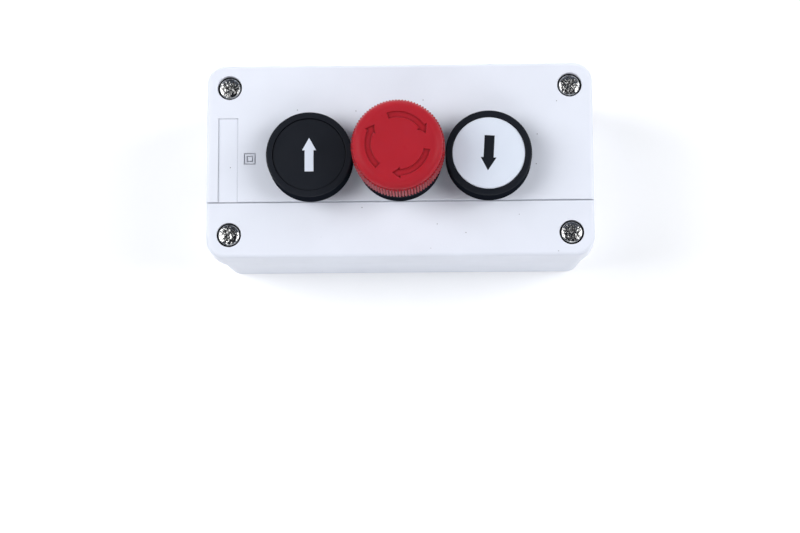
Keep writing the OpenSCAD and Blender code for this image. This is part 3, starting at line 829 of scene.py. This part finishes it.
def button_bezel(x, name, node):
    """The ring round a cap: barrel, flange and the cup that the cap goes down into."""
    profile = barrel_outside()
    profile += arc(BEZEL_R - RIM_FILLET, BEZEL_TOP - RIM_FILLET, RIM_FILLET, RIM_FILLET, 0, 90, 8)
    profile += arc(CUP_R + CUP_FILLET, BEZEL_TOP - CUP_FILLET, CUP_FILLET, CUP_FILLET, 90, 180, 5)
    profile += [(CUP_R, CUP_FLOOR), (BORE_R, CUP_FLOOR), (BORE_R, LEDGE_TOP), (LEDGE_R, LEDGE_TOP)]
    piece(name, lathe(profile, RING_STEPS, (x, 0.0)), "black_plastic", "station", node)


# length, length of the head, width of the head and width of the shaft
UP_LEGEND = (11.5, 4.3, 4.8, 3.0)
DOWN_LEGEND = (12.0, 4.5, 5.3, 3.4)
INLAY_GAP = 0.02


def arrow_outline(legend, clear):
    """An arrow along +Y, smaller by clear on every side."""
    length, head_l, head_w, shaft_w = legend
    back = -length / 2 + clear
    neck = length / 2 - head_l + clear
    half, wing = shaft_w / 2 - clear, head_w / 2 - 2 * clear
    tip = length / 2 - 2 * clear
    right = [(half, back), (half, neck), (wing, neck)]
    left = [(-wing, neck), (-half, neck)]
    return [(-half, back), *right, (0, tip), *left]


def button_cap(x, legend, turn, name, node, slot, body):
    """A cap with the pocket of its arrow."""
    profile = [(0, CAP_LOW), (CAP_R - CAP_CHAMFER, CAP_LOW), (CAP_R, CAP_LOW + CAP_CHAMFER)]
    profile += arc(CAP_R - CAP_FILLET, CAP_TOP - CAP_FILLET, CAP_FILLET, CAP_FILLET, 0, 90, 6)
    profile += [(CAP_R - CAP_FACE_IN, CAP_TOP), (0, CAP_TOP)]
    pocket = prism(arrow_outline(legend, 0.0), CAP_TOP - INLAY_D, CAP_TOP + CLEAR, (x, 0.0), turn)
    disc = carve(lathe(profile, RING_STEPS, (x, 0.0), closed=False), [pocket])
    piece(name, disc, slot, body, node)


def button_inlay(x, legend, turn, name, node, slot, body):
    """The arrow that lies flush in its cap's pocket."""
    outline = arrow_outline(legend, INLAY_GAP)
    piece(name, prism(outline, CAP_TOP - INLAY_D, CAP_TOP, (x, 0.0), turn), slot, body, node)


# where an arrow stands, its outline and how far it is turned
UP = (UP_X, UP_LEGEND, 0.0)
DOWN = (DOWN_X, DOWN_LEGEND, 176.6)

button_bezel(UP_X, "up_bezel_ring", "up_bezel")
button_bezel(DOWN_X, "down_bezel_ring", "down_bezel")
button_cap(*UP, "up_cap_disc", "up_cap", "black_cap", "up_button")
button_inlay(*UP, "up_arrow_inlay", "up_arrow", "white_plastic", "up_button")
button_cap(*DOWN, "down_cap_disc", "down_cap", "white_plastic", "down_button")
button_inlay(*DOWN, "down_arrow_inlay", "down_arrow", "black_cap", "down_button")


# ------------------------------------------------------------------ stop head

FLANGE_TOP = PANEL_Z + 6.8
GUARD_R = 12.4
GUARD_FILLET = 0.3

RIBS = 92
RIB_D = 0.6
TURN_STEPS = 6 * RIBS

# outside: the skin under the ribs, and the face with its rounded shoulder
SKIN_R = HEAD_R - RIB_D
FOOT_FILLET = 0.4
FACE_R = 11.8
FACE_DROP = 2.7
FACE_EDGE_Z = HEAD_TOP - FACE_DROP
SHOULDER_END = 78
RIB_LOW = HEAD_LOW + 0.6
RIB_HIGH = FACE_EDGE_Z - 0.25
RIB_ROWS = 8
ON_SKIN = 0.01

# how long the ribs take to rise at their foot and to run out at their top, and the rows of points
# above the foot and under the top that draw this
RIB_RISE = 0.3
RIB_RUN_OUT = 0.2
RIB_FOOT_ROWS = (0.0, 0.12, 0.3)
RIB_TOP_ROWS = (0.35, 0.18, 0.02)

# inside: the shell, the hub and its bore
SHELL_R = 13.2
SHELL_TOP = HEAD_TOP - 2.3
SHELL_CHAMFER = 1.0
HUB_R = 7.0
HUB_BORE_R = 4.1

# the ring of the face that holds the turn arrows, its rows of points, those of the face inside it,
# and how far past the ring and how high above the face's edge a point may be sunk
RING_R = (7.7, 12.05)
RING_ROWS = 42
INSIDE_ROWS = (7.1, 5.2, 2.5, 0)
RING_PAST = 0.15
RING_ABOVE = 1.0

# turn arrows: angles of the tail, of the head's base and of its tip, the radius they follow, and
# the half widths of the shaft and of the head
ARROWS = 3
ARROW_D = 0.7
ARROW_TAIL, ARROW_BASE, ARROW_TIP = 108.5, 34.7, 20.7
ARROW_R, SHAFT_HALF, HEAD_HALF = 9.75, 1.0, 1.75
ARROW_OVERLAP = 0.4
ARROW_EASE = 0.14


def stop_bezel():
    """The ring round the stop head's stem, with the guard that stands up under the head."""
    profile = barrel_outside()
    profile += arc(BEZEL_R - RIM_FILLET, FLANGE_TOP - RIM_FILLET, RIM_FILLET, RIM_FILLET, 0, 90, 8)
    foot_r = GUARD_R + GUARD_FILLET
    profile.append((foot_r, FLANGE_TOP))
    profile += arc(foot_r, FLANGE_TOP + GUARD_FILLET, GUARD_FILLET, GUARD_FILLET, 270, 180, 4)
    top_r, top_z = GUARD_R - GUARD_FILLET, GUARD_TOP - GUARD_FILLET
    profile += arc(top_r, top_z, GUARD_FILLET, GUARD_FILLET, 0, 90, 4)
    profile += [(BORE_R, GUARD_TOP), (BORE_R, LEDGE_TOP), (LEDGE_R, LEDGE_TOP)]
    piece("stop_bezel_ring", lathe(profile, RING_STEPS), "black_plastic", "station", "stop_bezel")


def ease(value, low, high):
    """0 below low, 1 above high and a soft step between them."""
    t = min(1.0, max(0.0, (value - low) / (high - low)))
    return t * t * (3 - 2 * t)


def arrow_depth(r, angle):
    """How deep the turn-to-release arrows are at a point of the face, from 0 to 1."""
    shaft_l = math.radians(ARROW_TAIL - ARROW_BASE) * ARROW_R
    head_l = math.radians(ARROW_BASE - ARROW_TIP) * ARROW_R
    slope = HEAD_HALF / head_l
    across = abs(r - ARROW_R)
    best = -1.0
    for k in range(ARROWS):
        behind = (ARROW_TAIL - math.degrees(angle) - 360 / ARROWS * k + 60) % 360 - 60
        along = math.radians(behind) * ARROW_R
        shaft = min(along, shaft_l + ARROW_OVERLAP - along, SHAFT_HALF - across)
        past = along - shaft_l
        head = min(past, (HEAD_HALF - past * slope - across) / math.hypot(1.0, slope))
        best = max(best, shaft, head)
    return ease(best, -ARROW_EASE, ARROW_EASE)


def stop_head_inside():
    """From the axis down the hub's bore, round the hub and up the shell's inside to its foot."""
    bore_top = SHELL_TOP - SHELL_CHAMFER
    return [
        (0, bore_top), (HUB_BORE_R, bore_top), (HUB_BORE_R, HUB_LOW), (HUB_R, HUB_LOW),
        (HUB_R, SHELL_TOP), (SHELL_R - SHELL_CHAMFER, SHELL_TOP), (SHELL_R, bore_top),
        (SHELL_R, HEAD_LOW),
    ]


def stop_head_outside():
    """From the foot up the ribbed skin and over the shoulder and the face's ring to the axis."""
    foot_r, foot_z = SKIN_R - FOOT_FILLET, HEAD_LOW + FOOT_FILLET
    profile = arc(foot_r, foot_z, FOOT_FILLET, FOOT_FILLET, 270, 360, 4)
    heights = [RIB_LOW + rise for rise in RIB_FOOT_ROWS]
    heights += [RIB_LOW + (RIB_HIGH - RIB_LOW) * i / RIB_ROWS for i in range(1, RIB_ROWS)]
    heights += [RIB_HIGH - drop for drop in RIB_TOP_ROWS]
    profile += [(SKIN_R, z) for z in heights]
    shoulder_w = SKIN_R - FACE_R
    profile += arc(FACE_R, FACE_EDGE_Z, shoulder_w, FACE_DROP, 0, SHOULDER_END, 16)
    inner, outer = RING_R
    for i in range(RING_ROWS + 1):
        r = outer - (outer - inner) * i / RING_ROWS
        past = max(0.0, (r - FACE_R) / shoulder_w)
        profile.append((r, FACE_EDGE_Z + FACE_DROP * math.sqrt(1 - past ** 2)))
    return profile + [(r, HEAD_TOP) for r in INSIDE_ROWS]


def stop_head_shift(r, z, angle):
    """Draws the skin out into ribs and lowers the face's ring where the turn arrows are."""
    if r > SKIN_R - ON_SKIN and RIB_LOW <= z < RIB_HIGH:
        risen = ease(z, RIB_LOW, RIB_LOW + RIB_RISE)
        window = risen * (1 - ease(z, RIB_HIGH - RIB_RUN_OUT, RIB_HIGH))
        return r + RIB_D * window * abs(math.sin(angle * RIBS / 2)), z
    inner, outer = RING_R
    if inner < r < outer + RING_PAST and z > FACE_EDGE_Z + RING_ABOVE:
        return r, z - ARROW_D * arrow_depth(r, angle)
    return r, z


def make_stop_head():
    profile = stop_head_inside() + stop_head_outside()
    head = lathe(profile, TURN_STEPS, closed=False, shift=stop_head_shift)
    piece("stop_head_cap", head, "stop_red", "stop_knob", "stop_head")


stop_bezel()
make_stop_head()


# ------------------------------------------------------------------ coil springs

COIL_STEPS = 36
WIRE_STEPS = 12
END_PITCH = 2.3

# joint, wire radius and number of turns
SPRINGS = {
    "up_spring": ("up_push", 0.5, 7),
    "down_spring": ("down_push", 0.5, 7),
    "stop_spring": ("stop_push", 0.5, 6),
    "up_contact_spring": ("up_contact_push", 0.35, 6),
    "down_contact_spring": ("down_contact_push", 0.35, 6),
    "stop_contact_spring": ("stop_contact_push", 0.35, 6),
}


def coil(low, high, wire, turns):
    """A helical spring with a closed turn at each end, standing in a node's box."""
    x, y = (low.x + high.x) / 2, (low.y + high.y) / 2
    mean_r = (high.x - low.x) / 2 - wire
    bottom, top = low.z + wire, high.z - wire
    end_rise = END_PITCH * wire
    free_rise = top - bottom - 2 * end_rise
    bm = bmesh.new()
    rings = []
    for i in range(turns * COIL_STEPS + 1):
        t = i / COIL_STEPS
        if t < 1:
            z = bottom + end_rise * t
        elif t > turns - 1:
            z = top - end_rise * (turns - t)
        else:
            z = bottom + end_rise + free_rise * (t - 1) / (turns - 2)
        a = 2 * math.pi * t
        ring = []
        for j in range(WIRE_STEPS):
            b = 2 * math.pi * j / WIRE_STEPS
            r = mean_r + wire * math.cos(b)
            corner = (x + r * math.cos(a), y + r * math.sin(a), z + wire * math.sin(b))
            ring.append(bm.verts.new(corner))
        rings.append(ring)
    ladder(bm, rings, False)
    bm.faces.new(rings[0])
    bm.faces.new(rings[-1])
    bmesh.ops.recalc_face_normals(bm, faces=bm.faces)
    return bm


def make_springs():
    for node, (joint, wire, turns) in SPRINGS.items():
        low, high = box_mm(node)
        made = piece(node + "_coil", coil(low, high, wire, turns), "spring_steel", "station", node)
        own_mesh(made)


make_springs()


# ------------------------------------------------------------------ CAD nodes that stay

FINE_ANGLE = 28.0


def finish_frame_nodes():
    """Gives the CAD nodes that stay the finish of their slot and smooth shading."""
    slots = {row["node"]: row["material_slot"] for row in frame["record"]["subparts"]}
    for name, node in sorted(frame["nodes"].items()):
        if node.hide_render:
            continue
        node.data.materials.clear()
        node.data.materials.append(MATERIALS[slots[name]].material)
        smooth(node.data, FINE_ANGLE)
        even_normals(node)


finish_frame_nodes()


# ------------------------------------------------------------------ floor, light and world

FLOOR_HALF_M = 3.0
FLOOR_WHITE = (0.92, 0.92, 0.92)
FLOOR_GLOW = 0.15

# the world's colour straight up and down, and at the horizon
SKY_ENDS = (0.005, 0.005, 0.007, 1.0)
SKY_HORIZON = (0.205, 0.236, 0.300, 1.0)


def make_floor():
    """A plain pale floor that glows a little, as paper does in a light tent."""
    bm = bmesh.new()
    bmesh.ops.create_grid(bm, x_segments=1, y_segments=1, size=FLOOR_HALF_M)
    mesh = bpy.data.meshes.new("floor")
    bm.to_mesh(mesh)
    bm.free()
    s = Shader("floor_paper")
    s.feed("Base Color", FLOOR_WHITE)
    s.feed("Roughness", 0.9)
    s.feed("Specular IOR Level", 0.1)
    s.feed("Emission Color", (1.0, 1.0, 1.0))
    s.feed("Emission Strength", FLOOR_GLOW)
    mesh.materials.append(s.material)
    floor = bpy.data.objects.new("floor", mesh)
    scene.collection.objects.link(floor)


def soft_box(name, at, size, watts):
    """A rectangular light that looks at the middle of the panel. Its place and size are metres."""
    light = bpy.data.lights.new(name, "AREA")
    light.shape = "RECTANGLE"
    light.size, light.size_y = size
    light.energy = watts
    made = bpy.data.objects.new(name, light)
    scene.collection.objects.link(made)
    made.location = at
    target = Vector((0, 0, PANEL_Z * MM))
    made.rotation_euler = (target - Vector(at)).to_track_quat("-Z", "Y").to_euler()


def make_world():
    """A pale horizon that fades to dark overhead and underfoot."""
    world = bpy.data.worlds.new("studio")
    scene.world = world
    world.use_nodes = True
    tree = world.node_tree
    tree.nodes.clear()
    out = tree.nodes.new("ShaderNodeOutputWorld")
    back = tree.nodes.new("ShaderNodeBackground")
    view = tree.nodes.new("ShaderNodeTexCoord")
    parts = tree.nodes.new("ShaderNodeSeparateXYZ")
    ramp = tree.nodes.new("ShaderNodeValToRGB")
    tree.links.new(view.outputs["Generated"], parts.inputs[0])
    tree.links.new(parts.outputs["Z"], ramp.inputs[0])
    tree.links.new(ramp.outputs[0], back.inputs["Color"])
    tree.links.new(back.outputs[0], out.inputs[0])
    stops = ramp.color_ramp.elements
    for stop, position in zip(stops, (0.0, 1.0)):
        stop.position = position
        stop.color = SKY_ENDS
    stops.new(0.5).color = SKY_HORIZON
    back.inputs["Strength"].default_value = 1.0


make_floor()
make_world()
soft_box("high_left", (-0.8, 0.1, 1.2), (0.8, 1.0), 5.2)
soft_box("high_right", (0.8, 0.1, 1.2), (0.8, 1.0), 1.5)
soft_box("mid_left", (-1.0, 0.1, 0.95), (0.7, 1.0), 7.0)
soft_box("mid_right", (1.0, 0.1, 0.95), (0.7, 1.0), 7.0)
soft_box("low_left", (-1.1, 0.1, 0.55), (0.9, 1.4), 1.9)
soft_box("low_right", (1.1, 0.1, 0.55), (0.9, 1.4), 4.0)
soft_box("near_side", (0.0, -0.95, 1.0), (1.0, 0.6), 1.4)
soft_box("near_low", (0.0, -1.2, 0.8), (1.4, 0.8), 3.2)
soft_box("far_low", (0.0, 1.5, 0.18), (1.6, 0.25), 7.0)
scene.view_settings.view_transform = "Standard"
scene.view_settings.look = "None"
